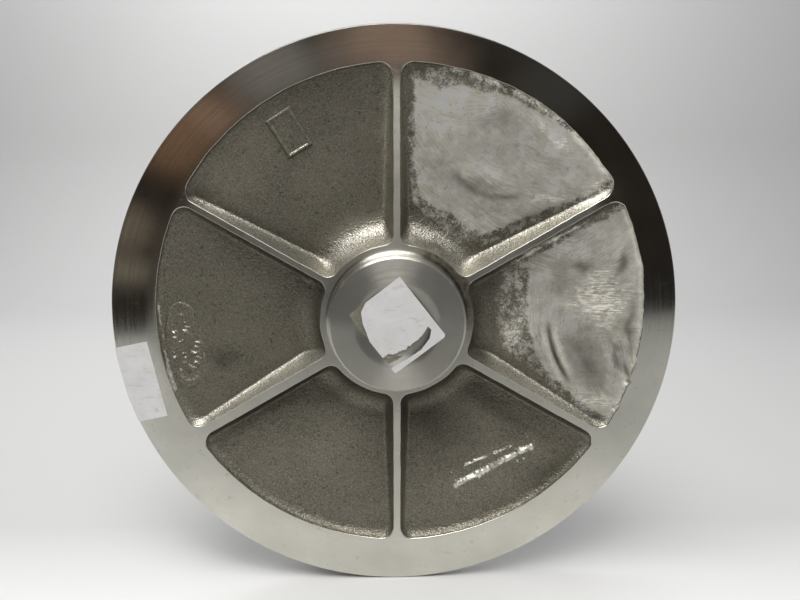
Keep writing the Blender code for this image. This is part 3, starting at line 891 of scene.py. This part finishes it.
class Graph:
    """A short way to write one material's nodes."""

    def __init__(self, name):
        self.material = bpy.data.materials.new(name)
        self.material.use_nodes = True
        self.tree = self.material.node_tree
        self.shader = self.tree.nodes["Principled BSDF"]
        self.place = self.node("ShaderNodeTexCoord").outputs["Object"]

    def node(self, kind, inputs=None, **settings):
        made = self.tree.nodes.new(kind)
        for key, value in settings.items():
            setattr(made, key, value)
        for key, value in (inputs or {}).items():
            self.plug(made.inputs[key], value)
        return made

    def plug(self, socket, value):
        if isinstance(value, bpy.types.Node):
            value = value.outputs[0]
        if isinstance(value, bpy.types.NodeSocket):
            self.tree.links.new(value, socket)
        else:
            socket.default_value = value

    def attribute(self, name):
        return self.node("ShaderNodeAttribute", attribute_name=name).outputs["Fac"]

    def math(self, operation, first, second=0.0):
        return self.node("ShaderNodeMath", {0: first, 1: second}, operation=operation)

    def plus(self, first, *others):
        for other in others:
            first = self.math("ADD", first, other)
        return first

    def times(self, first, *others):
        for other in others:
            first = self.math("MULTIPLY", first, other)
        return first

    def vector(self, operation, first, second=(0, 0, 0)):
        return self.node("ShaderNodeVectorMath", {0: first, 1: second}, operation=operation)

    def length(self, vector):
        return self.vector("LENGTH", vector).outputs["Value"]

    def parts(self, vector):
        """A vector's X, Y and Z."""
        return self.node("ShaderNodeSeparateXYZ", {0: vector}).outputs

    def oval_reach(self, place, centre, size):
        """How far a place lies from the centre of an oval in the XZ plane: 1 is on the oval."""
        shifted = self.vector("SUBTRACT", place, (centre[0], 0, centre[1]))
        return self.length(self.vector("MULTIPLY", shifted, (1 / size[0], 0, 1 / size[1])))

    def noise(self, scale, detail=2.0, roughness=0.5, distortion=0.0, vector=None):
        inputs = {"Vector": self.place if vector is None else vector, "Scale": scale, "Detail": detail,
                  "Roughness": roughness, "Distortion": distortion}
        return self.node("ShaderNodeTexNoise", inputs)

    def rings(self, radius, scale, detail):
        """Noise that changes along the radius alone."""
        inputs = {"W": radius, "Scale": scale, "Detail": detail}
        return self.node("ShaderNodeTexNoise", inputs, noise_dimensions="1D")

    def stretch(self, scale, turn):
        """The object's place in a turned frame, stretched along each axis."""
        return self.node("ShaderNodeMapping", {"Vector": self.place, "Scale": scale, "Rotation": turn})

    def range(self, value, low, high, to_low=0.0, to_high=1.0):
        inputs = {"Value": value, "From Min": low, "From Max": high, "To Min": to_low, "To Max": to_high}
        return self.node("ShaderNodeMapRange", inputs)

    def mix(self, share, first, second, blend="MIX"):
        inputs = {0: share, 6: first, 7: second}
        return self.node("ShaderNodeMix", inputs, data_type="RGBA", blend_type=blend).outputs[2]

    def blend(self, share, first, second):
        return self.node("ShaderNodeMix", {0: share, 2: first, 3: second}, data_type="FLOAT").outputs[0]

    def bump(self, height, distance, strength=1.0):
        return self.node("ShaderNodeBump", {"Height": height, "Distance": distance, "Strength": strength})

    def set(self, **values):
        """Sets the shader's own sockets and gives the material."""
        for key, value in values.items():
            self.plug(self.shader.inputs[key.replace("_", " ")], value)
        return self.material


def grey(value):
    return (value, value, value, 1.0)


def steel(value):
    """Bare stainless, a little yellow."""
    return (value, 0.985 * value, 0.88 * value, 1.0)


# Turned faces, world metres and radians: where the ring's finer finish begins, the hub's darker side
# and its start, and the radii and turns between which dirt lies round the hub's root
RING_FINISH = (0.160, 0.180)
HUB_SIDE = (0.066, 0.056)
HUB_SIDE_START = (0.047, 0.050)
DIRT_INNER = (0.0485, 0.0500)
DIRT_OUTER = (0.0595, 0.0575)
DIRT_START = (-0.35, 0.15)
DIRT_END = (1.40, 1.15)
HUB_SIDE_TONE = steel(0.56)
SPOT_TONE = steel(0.34)
DIRT_TONE = (0.16, 0.13, 0.095, 1)


def turned_steel(name, inner_roughness, outer_roughness, anisotropy, groove, tones):
    """Lathe-turned stainless: fine rings round the axis, finer on the outer ring, smudges and scratches."""
    g = Graph(name)
    flat = g.vector("MULTIPLY", g.place, (1, 0, 1))
    radius = g.length(flat)
    x, _, z = g.parts(flat)
    turn = g.math("ARCTAN2", z, x)
    fine = g.rings(radius, 2600.0, 2.0)
    bands = g.rings(radius, 420.0, 1.0)
    smudge = g.noise(26.0, 4.0, 0.6)
    spots = g.noise(210.0, 3.0, 0.6)
    scratches = g.noise(1.0, 2.0, 0.5, 0.6, g.stretch((60, 60, 900), (0, 0.5, 0)))
    scratches = g.range(scratches, 0.66, 0.72)
    hub_side = g.times(g.range(radius, *HUB_SIDE), g.range(radius, *HUB_SIDE_START))
    dirt = g.times(g.range(radius, *DIRT_INNER), g.range(radius, *DIRT_OUTER),
                   g.times(g.range(turn, *DIRT_START), g.range(turn, *DIRT_END)),
                   g.range(spots, 0.25, 0.6, 0.45, 0.95))
    tone = g.mix(g.range(smudge, 0.35, 0.7), steel(tones[0]), steel(tones[1]))
    tone = g.mix(g.range(spots, 0.62, 0.78, 0.0, 0.5), tone, SPOT_TONE)
    tone = g.mix(hub_side, tone, HUB_SIDE_TONE)
    tone = g.mix(dirt, tone, DIRT_TONE)
    rough = g.plus(g.range(smudge, 0.3, 0.75, 0.0, 0.06),
                   g.range(radius, *RING_FINISH, inner_roughness, outer_roughness),
                   g.range(bands, 0.3, 0.7, -0.01, 0.02), g.times(scratches, 0.05), g.times(dirt, 0.25))
    height = g.plus(g.times(fine, 0.6), g.times(bands, 0.4))
    tangent = g.node("ShaderNodeTangent", direction_type="RADIAL", axis="Y")
    return g.set(Base_Color=tone, Metallic=1.0, Roughness=rough, Anisotropic=anisotropy,
                 Anisotropic_Rotation=0.25, Tangent=tangent, Normal=g.bump(height, groove))


# The casting's colours, the height in metres above which up-facing skin gets a painted highlight, and what
# the darkest cloud leaves of red, green and blue
SKIN_DARK = (0.17, 0.16, 0.125, 1)
SKIN_LIGHT = (0.23, 0.215, 0.17, 1)
SKIN_GRAIN = (0.34, 0.32, 0.265, 1)
SKIN_HOLE = (0.07, 0.062, 0.048, 1)
SKIN_PAINTED_SHADE = (0.045, 0.04, 0.03, 1)
SKIN_PAINTED_HIGHLIGHT = (0.71, 0.69, 0.625, 1)
PAINTED_HIGHLIGHT_FROM = (-0.115, -0.075)
GROUND_DULL = (0.62, 0.60, 0.53, 1)
GROUND_BRIGHT = (1.0, 0.99, 0.935, 1)
GROUND_YELLOW = (0.55, 0.51, 0.405, 1)
GROUND_WHITE = (1.0, 0.99, 0.95, 1)
GROUND_SPECK = (0.36, 0.34, 0.28, 1)
PAINTED_GLINT_TONE = (1.0, 0.97, 0.84, 1)
CLOUD_LEAVES = (0.0, -0.01, -0.04)


def skin_colour(g, grains, coarse):
    """Sand-cast skin, with painted shade where it faces down and a painted highlight where it faces up."""
    patches = g.noise(30.0, 4.0, 0.6)
    facing = g.parts(g.node("ShaderNodeNewGeometry").outputs["Normal"])["Z"]
    # Painted highlight on up-facing skin above a height, on the high grains
    up_facing_highlight = g.times(g.range(facing, 0.14, 0.6), g.range(grains, 0.33, 0.58),
                   g.range(g.parts(g.place)["Z"], *PAINTED_HIGHLIGHT_FROM))
    skin = g.mix(g.range(patches, 0.35, 0.7), SKIN_DARK, SKIN_LIGHT)
    skin = g.mix(g.range(grains, 0.42, 0.66), skin, SKIN_GRAIN)
    skin = g.mix(g.range(coarse, 0.56, 0.72, 0.0, 0.7), skin, SKIN_HOLE)
    # Painted shade where the skin faces down
    skin = g.mix(g.range(facing, -0.06, -0.5, 0.0, 0.6), skin, SKIN_PAINTED_SHADE)
    return g.mix(up_facing_highlight, skin, SKIN_PAINTED_HIGHLIGHT)


def ground_colour(g, swirl, fleck):
    """Metal ground by hand: bright strokes, yellower and whiter worked patches and dark specks."""
    worked = g.noise(85.0, 4.0, 0.7)
    bright = g.mix(g.range(swirl, 0.41, 0.57), GROUND_DULL, GROUND_BRIGHT)
    bright = g.mix(g.range(worked, 0.44, 0.70, 0.0, 0.6), bright, GROUND_YELLOW)
    bright = g.mix(g.range(worked, 0.46, 0.34, 0.0, 0.7), bright, GROUND_WHITE)
    return g.mix(g.range(fleck, 0.6, 0.72, 0.0, 0.3), bright, GROUND_SPECK)


def cast_steel():
    """Sand-cast skin, ground bright by hand where the ground attribute says."""
    g = Graph("cast_steel")
    grains = g.noise(1000.0, 2.0, 0.6)
    coarse = g.noise(420.0, 3.0, 0.6)
    fleck = g.noise(750.0, 2.0, 0.6)
    blotch = g.noise(150.0, 4.0, 0.75)
    edge_noise = g.plus(g.times(fleck, 0.65), g.times(blotch, 1.35))
    mask = g.plus(g.attribute("ground"), g.range(edge_noise, 0.75, 1.25, -0.8, 0.65))
    mask = g.range(mask, -0.4, 0.55)
    # Stains, painted shade and painted highlight from the clouds darken or lighten the colour
    stain_and_light = g.attribute("stain_and_light")
    shares = [g.range(stain_and_light, 1.0, -1.0, left, 2.0) for left in CLOUD_LEAVES]
    shade = g.node("ShaderNodeCombineXYZ", dict(enumerate(shares)))
    patchy = g.range(g.noise(34.0), 0.40, 0.60, 0.25, 1.0)
    swirl = g.blend(patchy, 0.5, grinding_marks(g))
    # Painted glints: short bright lines, less metallic, inside the glint zones
    painted_glint = g.range(g.plus(g.attribute("painted_glint"), g.range(blotch, 0.3, 0.7, -0.5, 0.3)), 0.2, 0.7)
    lines = g.noise(1.0, 3.0, 0.6, vector=g.stretch((150, 150, 1500), (0, 0.05, 0)))
    painted_glint = g.times(painted_glint, g.range(lines, 0.48, 0.57))
    bright = g.mix(painted_glint, ground_colour(g, swirl, fleck), PAINTED_GLINT_TONE)
    tone = g.mix(1.0, g.mix(mask, skin_colour(g, grains, coarse), bright), shade, "MULTIPLY")
    metal = g.math("SUBTRACT", g.blend(mask, 0.85, 0.82), g.times(painted_glint, mask, 0.75))
    rough = g.blend(mask, g.range(grains, 0.35, 0.65, 0.48, 0.3), g.range(swirl, 0.38, 0.62, 0.54, 0.40))
    skin_bump = g.bump(g.plus(g.times(grains, 0.7), g.times(coarse, 0.8)), 0.0006)
    ground_bump = g.bump(g.blend(mask, 0.0, swirl), 0.0002)
    normal = g.vector("NORMALIZE", g.mix(mask, skin_bump, ground_bump))
    return g.set(Base_Color=tone, Metallic=metal, Roughness=rough, Normal=normal)


# Grinding strokes in world metres: their arcs' centre, how short they are, and the centre and radius
# of the zone they fill; the first fill what the others leave
GRIND_STROKES = (
    ((0.150, 0.230), 11.0, (0.0, 0.0), 9.0),
    ((0.217, 0.008), 9.0, (0.115, -0.010), 0.036),
    ((0.140, 0.300), 16.0, (0.150, 0.020), 0.032),
    ((0.110, 0.100), 5.0, (0.155, 0.060), 0.024),
    ((0.271, -0.007), 8.0, (0.175, -0.038), 0.026),
    ((0.060, 0.300), 10.0, (0.045, 0.160), 0.030),
    ((0.180, 0.260), 13.0, (0.140, 0.100), 0.026),
)
FINE_STROKES = 900.0
BROAD_STROKES = 260.0
STROKE_WARP = 0.016


def strokes(g, radius, turn, across, along, seed):
    places = {0: g.times(radius, across), 1: g.times(turn, along), 2: seed}
    return g.noise(1.0, 3.0, 0.6, vector=g.node("ShaderNodeCombineXYZ", places))


def grinding_marks(g):
    """Streaks along arcs about several centres, each in its own ragged zone."""
    ragged = g.range(g.noise(60.0, 3.0, 0.7), 0.3, 0.7, -0.45, 0.45)
    drift = g.vector("SUBTRACT", g.noise(24.0).outputs["Color"], (0.5, 0.5, 0.5))
    inputs = {0: drift, 1: (STROKE_WARP,) * 3, 2: g.place}
    place = g.node("ShaderNodeVectorMath", inputs, operation="MULTIPLY_ADD")
    total = None
    for number, ((cx, cz), along, zone, reach) in enumerate(GRIND_STROKES):
        x, _, z = g.parts(g.vector("SUBTRACT", place, (cx, 0, cz)))
        radius = g.math("SQRT", g.plus(g.times(x, x), g.times(z, z)))
        turn = g.math("ARCTAN2", z, x)
        fine = g.times(strokes(g, radius, turn, FINE_STROKES, along, number * 9.0), 0.55)
        broad = g.times(strokes(g, radius, turn, BROAD_STROKES, along * 0.7, number * 9.0 + 4), 0.45)
        both = g.plus(fine, broad)
        if total is None:
            total = both
            continue
        distance = g.plus(g.oval_reach(place, zone, (reach, reach)), ragged)
        total = g.blend(g.range(distance, 1.1, 0.8), total, both)
    return total


def old_glue():
    """Brownish adhesive left where a label tore off."""
    g = Graph("old_glue")
    stains = g.noise(400.0, 3.0, 0.6)
    tone = g.mix(g.range(stains, 0.35, 0.7), (0.20, 0.19, 0.15, 1), (0.29, 0.275, 0.225, 1))
    return g.set(Base_Color=tone, Roughness=0.45)


def label_paper():
    """White label paper gone a little grey, with faint creases that are painted darker as shade."""
    g = Graph("label_paper")
    stains = g.noise(60.0, 4.0, 0.6)
    fibres = g.noise(2500.0, 3.0, 0.6)
    creases = g.noise(1.0, 2.0, 0.5, 1.0, g.stretch((90, 90, 260), (0, 0.6, 0)))
    tone = g.mix(g.range(stains, 0.35, 0.75), (0.82, 0.82, 0.825, 1), (0.73, 0.72, 0.70, 1))
    # Painted shade along the creases
    tone = g.mix(g.range(creases, 0.6, 0.72, 0.0, 0.35), tone, (0.45, 0.44, 0.42, 1))
    relief = g.plus(g.times(fibres, 0.25), creases)
    return g.set(Base_Color=tone, Roughness=0.62, Specular_IOR_Level=0.35, Normal=g.bump(relief, 0.0001, 0.6))


def make_casting():
    casting = make_casting_shape()
    casting.data.materials.clear()
    sort_faces(casting)
    mark_surface(casting)
    ring = turned_steel("turned_ring", inner_roughness=0.38, outer_roughness=0.09, anisotropy=0.58,
                        groove=0.000004, tones=(0.58, 0.68))
    hub = turned_steel("turned_hub", inner_roughness=0.29, outer_roughness=0.29, anisotropy=0.95,
                       groove=0.000006, tones=(0.58, 0.67))
    finish_piece(casting, "impeller_casting", (ring, cast_steel(), hub))


# Paper labels

def ragged_outline(corners, step=PAPER_STEP):
    """A closed outline through the corners whose torn edges run raggedly."""
    points = []
    for i, (x, y, ragged) in enumerate(corners):
        here = Vector((x, y))
        there = Vector(corners[(i + 1) % len(corners)][:2])
        run = there - here
        side = Vector((-run.y, run.x)).normalized()
        steps = max(1, round(run.length / (step / 2 if ragged else step)))
        for number in range(steps):
            part = number / steps
            place = here + run * part
            jag = noise.noise(Vector((place.x * 1.1, place.y * 1.1, 3.0))) * min(1.0, 5 * part)
            points.append(place + side * ragged * jag * 1.6)
    return points


def sheet(name, outline, thickness, bend, step=PAPER_STEP):
    """A thin solid inside an outline; bend places a flat point at a height above the underside."""
    count = len(outline)
    xs = [p.x for p in outline]
    ys = [p.y for p in outline]
    grid = [(x, y) for x in np.arange(min(xs), max(xs), step) for y in np.arange(min(ys), max(ys), step)]
    gx, gy = np.array(grid).T
    keep = inside_of(gx, gy, [tuple(p) for p in outline]) > step / 3
    flat = outline + [Vector(p) for p, kept in zip(grid, keep) if kept]
    edges = [(i, (i + 1) % count) for i in range(count)]
    points, _, faces, *_ = geometry.delaunay_2d_cdt(flat, edges, [list(range(count))], 1, 1e-5)
    total = len(points)
    places = [bend(p.x, p.y, thickness) for p in points] + [bend(p.x, p.y, 0.0) for p in points]
    sides = [(i, j, j + total, i + total) for i, j in boundary(faces)]
    backs = [[i + total for i in reversed(face)] for face in faces]
    return mesh_object(name, places, [list(face) for face in faces] + backs + sides)


def boundary(faces):
    """The directed edges that only one face uses."""
    used = {(face[i], face[(i + 1) % len(face)]) for face in faces for i in range(len(face))}
    return [(j, i) for i, j in used if (j, i) not in used]


def hub_paper_place(x, y, height):
    """The hub label is stuck on the boss, free over the recess, and creased."""
    free = smooth(RECESS_RADIUS + 1 - hypot(x, y), 0.0, 8.0)
    wave = 0.1 * noise.noise(Vector((x / 9, y / 9, 1.0))) + 0.05 * noise.noise(Vector((x / 3, y / 3, 2.0)))
    crease = 0.16 * exp(-((y - 3.0 - 0.25 * x - 0.02 * x * x) / 0.8) ** 2)
    crease *= smooth(12.0 - abs(x - 1.0), 0.0, 6.0)
    return x, y, HUB_PAPER_LIFT + free * (0.14 + wave + crease) + height


def glue_place(x, y, height):
    """Adhesive lies straight on the boss and on the slope of its recess."""
    inwards = (RECESS_RADIUS - hypot(x, y)) / (RECESS_RADIUS - RECESS_FLOOR_RADIUS)
    return x, y, GLUE_LIFT + height - RECESS_DEPTH * min(max(inwards, 0.0), 1.0)


def rim_paper_place(x, y, height):
    """The rim label lies on the ring and folds over its edge; x runs along it and y outwards."""
    radius = hypot(x, y)
    past = radius - FOLD_START
    lift = RIM_PAPER_LIFT + 0.05 * (1 + noise.noise(Vector((x / 6, y / 6, 4.0))))
    level = RIB_PLANE + lift + height
    if past > 0:
        fold = min(past / FOLD_RADIUS, pi / 2)
        radius = FOLD_START + (FOLD_RADIUS + height) * sin(fold)
        level = RIB_PLANE + lift - FOLD_RADIUS + (FOLD_RADIUS + height) * cos(fold)
        level -= max(past - FOLD_RADIUS * pi / 2, 0.0)
    along = RIM_LABEL_TURN + atan2(x, y)
    return radius * cos(along), radius * sin(along), level


def make_labels():
    paper = label_paper()
    label = sheet("hub_label_sheet", ragged_outline(HUB_LABEL_OUTLINE), PAPER, hub_paper_place)
    finish_piece(label, "hub_label", [paper])
    for number, corners in enumerate(GLUE_PATCHES, 1):
        glue = sheet(f"label_glue_{number}", ragged_outline(corners), PAPER / 4, glue_place)
        glue.data.materials.append(old_glue())
        stand(glue)
        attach(glue, "root")
    (length, width), (x, y) = RIM_LABEL_SIZE, RIM_LABEL_CORNER
    corners = ((x, y, 0.05), (x + length, y, 0.05), (x + length, y + width, 0.1), (x, y + width, 0.05))
    label = sheet("rim_label_sheet", ragged_outline(corners), PAPER, rim_paper_place)
    finish_piece(label, "rim_label", [paper])


# Studio

# The floor and what sweeps up behind it, metres; its greys are each laid over the last one from a place to
# # another: axis, from, to, grey. In front they paint light and shade for the turned faces to reflect: a
# # bright strip just before the casting, darker further out and lighter to the sides
FLOOR_FRONT = -1.05
FLOOR_BACK = 1.1
FLOOR_HALF_WIDTH = 1.6
SWEEP_RADIUS = 0.45
SWEEP_STEPS = 12
SWEEP_TOP = 1.9
FLOOR_TONES = (
    ("X", -0.22, -0.40, 0.78),
    ("X", 0.24, 0.44, 0.62),
    ("Y", -0.3, -0.05, 0.86),
    ("Y", -0.05, 0.10, 0.60),
)

# The dark card's ends and top, and its glows: centre and half size in X and Z, colour
CARD_LEFT = (-1.5, -0.672)
CARD_RIGHT = (1.5, -1.162)
CARD_TOP = 0.8
CARD_GLOWS = (
    ((0.02, 0.39), (0.16, 0.11), (0.44, 0.32, 0.26)),
    ((-0.225, 0.32), (0.13, 0.09), (0.32, 0.295, 0.29)),
    ((-0.353, 0.232), (0.09, 0.07), (0.46, 0.30, 0.22)),
    ((-0.41, 0.17), (0.08, 0.07), (0.32, 0.19, 0.12)),
    ((-0.513, 0.015), (0.06, 0.06), (0.35, 0.29, 0.23)),
    ((-0.52, -0.075), (0.08, 0.045), (0.40, 0.35, 0.29)),
    ((0.36, 0.32), (0.13, 0.08), (0.10, 0.095, 0.09)),
    ((0.47, 0.055), (0.05, 0.03), (0.24, 0.235, 0.22)),
)

# Lights: name, place, aim, size, watts, colour
WARM_WHITE = (1.0, 0.99, 0.97)
WHITE = (1.0, 1.0, 1.0)
LIGHTS = (
    ("key", (-0.1, -1.3, 1.75), (0, 0, 0), (1.7, 0.9), 22.0, WARM_WHITE),
    ("overhead", (-0.3, -0.45, 1.5), (0, 0, -0.1), (1.3, 0.7), 16.0, WARM_WHITE),
    ("behind", (-0.8, 0.8, 1.1), (0, 0, 0), (0.6, 0.6), 3.0, WHITE),
    ("backdrop", (-0.1, 0.95, 1.3), (0, 1.7, 0.1), (1.6, 0.5), 11.0, WHITE),
)
WORLD_COLOUR = (0.80, 0.81, 0.83, 1)
WORLD_STRENGTH = 0.34


def area_light(name, place, aim, size, power, colour):
    light = bpy.data.lights.new(name, "AREA")
    light.shape = "RECTANGLE"
    light.size, light.size_y = size
    light.energy = power
    light.color = colour
    lamp = link(bpy.data.objects.new(name, light))
    lamp.location = place
    lamp.rotation_euler = (Vector(aim) - Vector(place)).to_track_quat("-Z", "Y").to_euler()


def make_floor():
    """A pale floor that ends in front and sweeps up far behind, with painted light and shade in its greys."""
    level = -OUTER_RADIUS * MM
    turns = [pi / 2 * i / SWEEP_STEPS for i in range(1, SWEEP_STEPS + 1)]
    profile = [(FLOOR_FRONT, level), (FLOOR_BACK, level)]
    profile += [(FLOOR_BACK + SWEEP_RADIUS * sin(t), level + SWEEP_RADIUS * (1 - cos(t)))
                for t in turns]
    profile.append((FLOOR_BACK + SWEEP_RADIUS, SWEEP_TOP))
    points = [(x, y, z) for y, z in profile for x in (-FLOOR_HALF_WIDTH, FLOOR_HALF_WIDTH)]
    faces = [(2 * i, 2 * i + 1, 2 * i + 3, 2 * i + 2) for i in range(len(profile) - 1)]
    floor = mesh_object("studio_floor", points, faces)
    floor.data.shade_smooth()
    g = Graph("studio_floor")
    parts = g.parts(g.place)
    tone = g.mix(g.range(parts["Y"], -1.0, -0.3), grey(0.42), grey(0.47))
    for axis, start, end, value in FLOOR_TONES:
        tone = g.mix(g.range(parts[axis], start, end), tone, grey(value))
    floor.data.materials.append(g.set(Base_Color=tone, Roughness=0.6, Specular_IOR_Level=0.2))


def make_dark_card():
    """A dark card in front, unseen by the camera, that the turned faces reflect with a few warm glows."""
    level = -OUTER_RADIUS * MM
    corners = [(*CARD_LEFT, level), (*CARD_RIGHT, level), (*CARD_RIGHT, CARD_TOP), (*CARD_LEFT, CARD_TOP)]
    card = mesh_object("dark_card", corners, [(0, 1, 2, 3)])
    g = Graph("dark_card")
    wave = g.noise(7.0)
    uneven = g.range(wave, 0.3, 0.7, -0.35, 0.35)
    tone = g.mix(wave, (0.030, 0.027, 0.025, 1), (0.045, 0.036, 0.03, 1))
    for centre, size, colour in CARD_GLOWS:
        reach = g.plus(g.oval_reach(g.place, centre, size), uneven)
        tone = g.mix(g.range(reach, 1.15, 0.4), tone, (*colour, 1))
    card.data.materials.append(g.set(Base_Color=tone, Roughness=0.9, Specular_IOR_Level=0.0))
    card.visible_camera = False


def make_lights():
    for light in LIGHTS:
        area_light(*light)
    world = bpy.data.worlds.new("studio")
    bpy.context.scene.world = world
    world.use_nodes = True
    background = world.node_tree.nodes["Background"]
    background.inputs["Color"].default_value = WORLD_COLOUR
    background.inputs["Strength"].default_value = WORLD_STRENGTH


def make_camera():
    camera = bpy.data.cameras.new("camera")
    camera.lens = CAMERA_LENS
    camera.clip_start = 0.01
    holder = link(bpy.data.objects.new("camera", camera))
    holder.location = CAMERA_PLACE
    holder.rotation_euler = [radians(turn) for turn in CAMERA_TURN]
    bpy.context.scene.camera = holder
    bpy.context.scene.view_settings.view_transform = "Standard"


def main():
    make_camera()
    make_casting()
    make_labels()
    make_floor()
    make_dark_card()
    make_lights()


main()
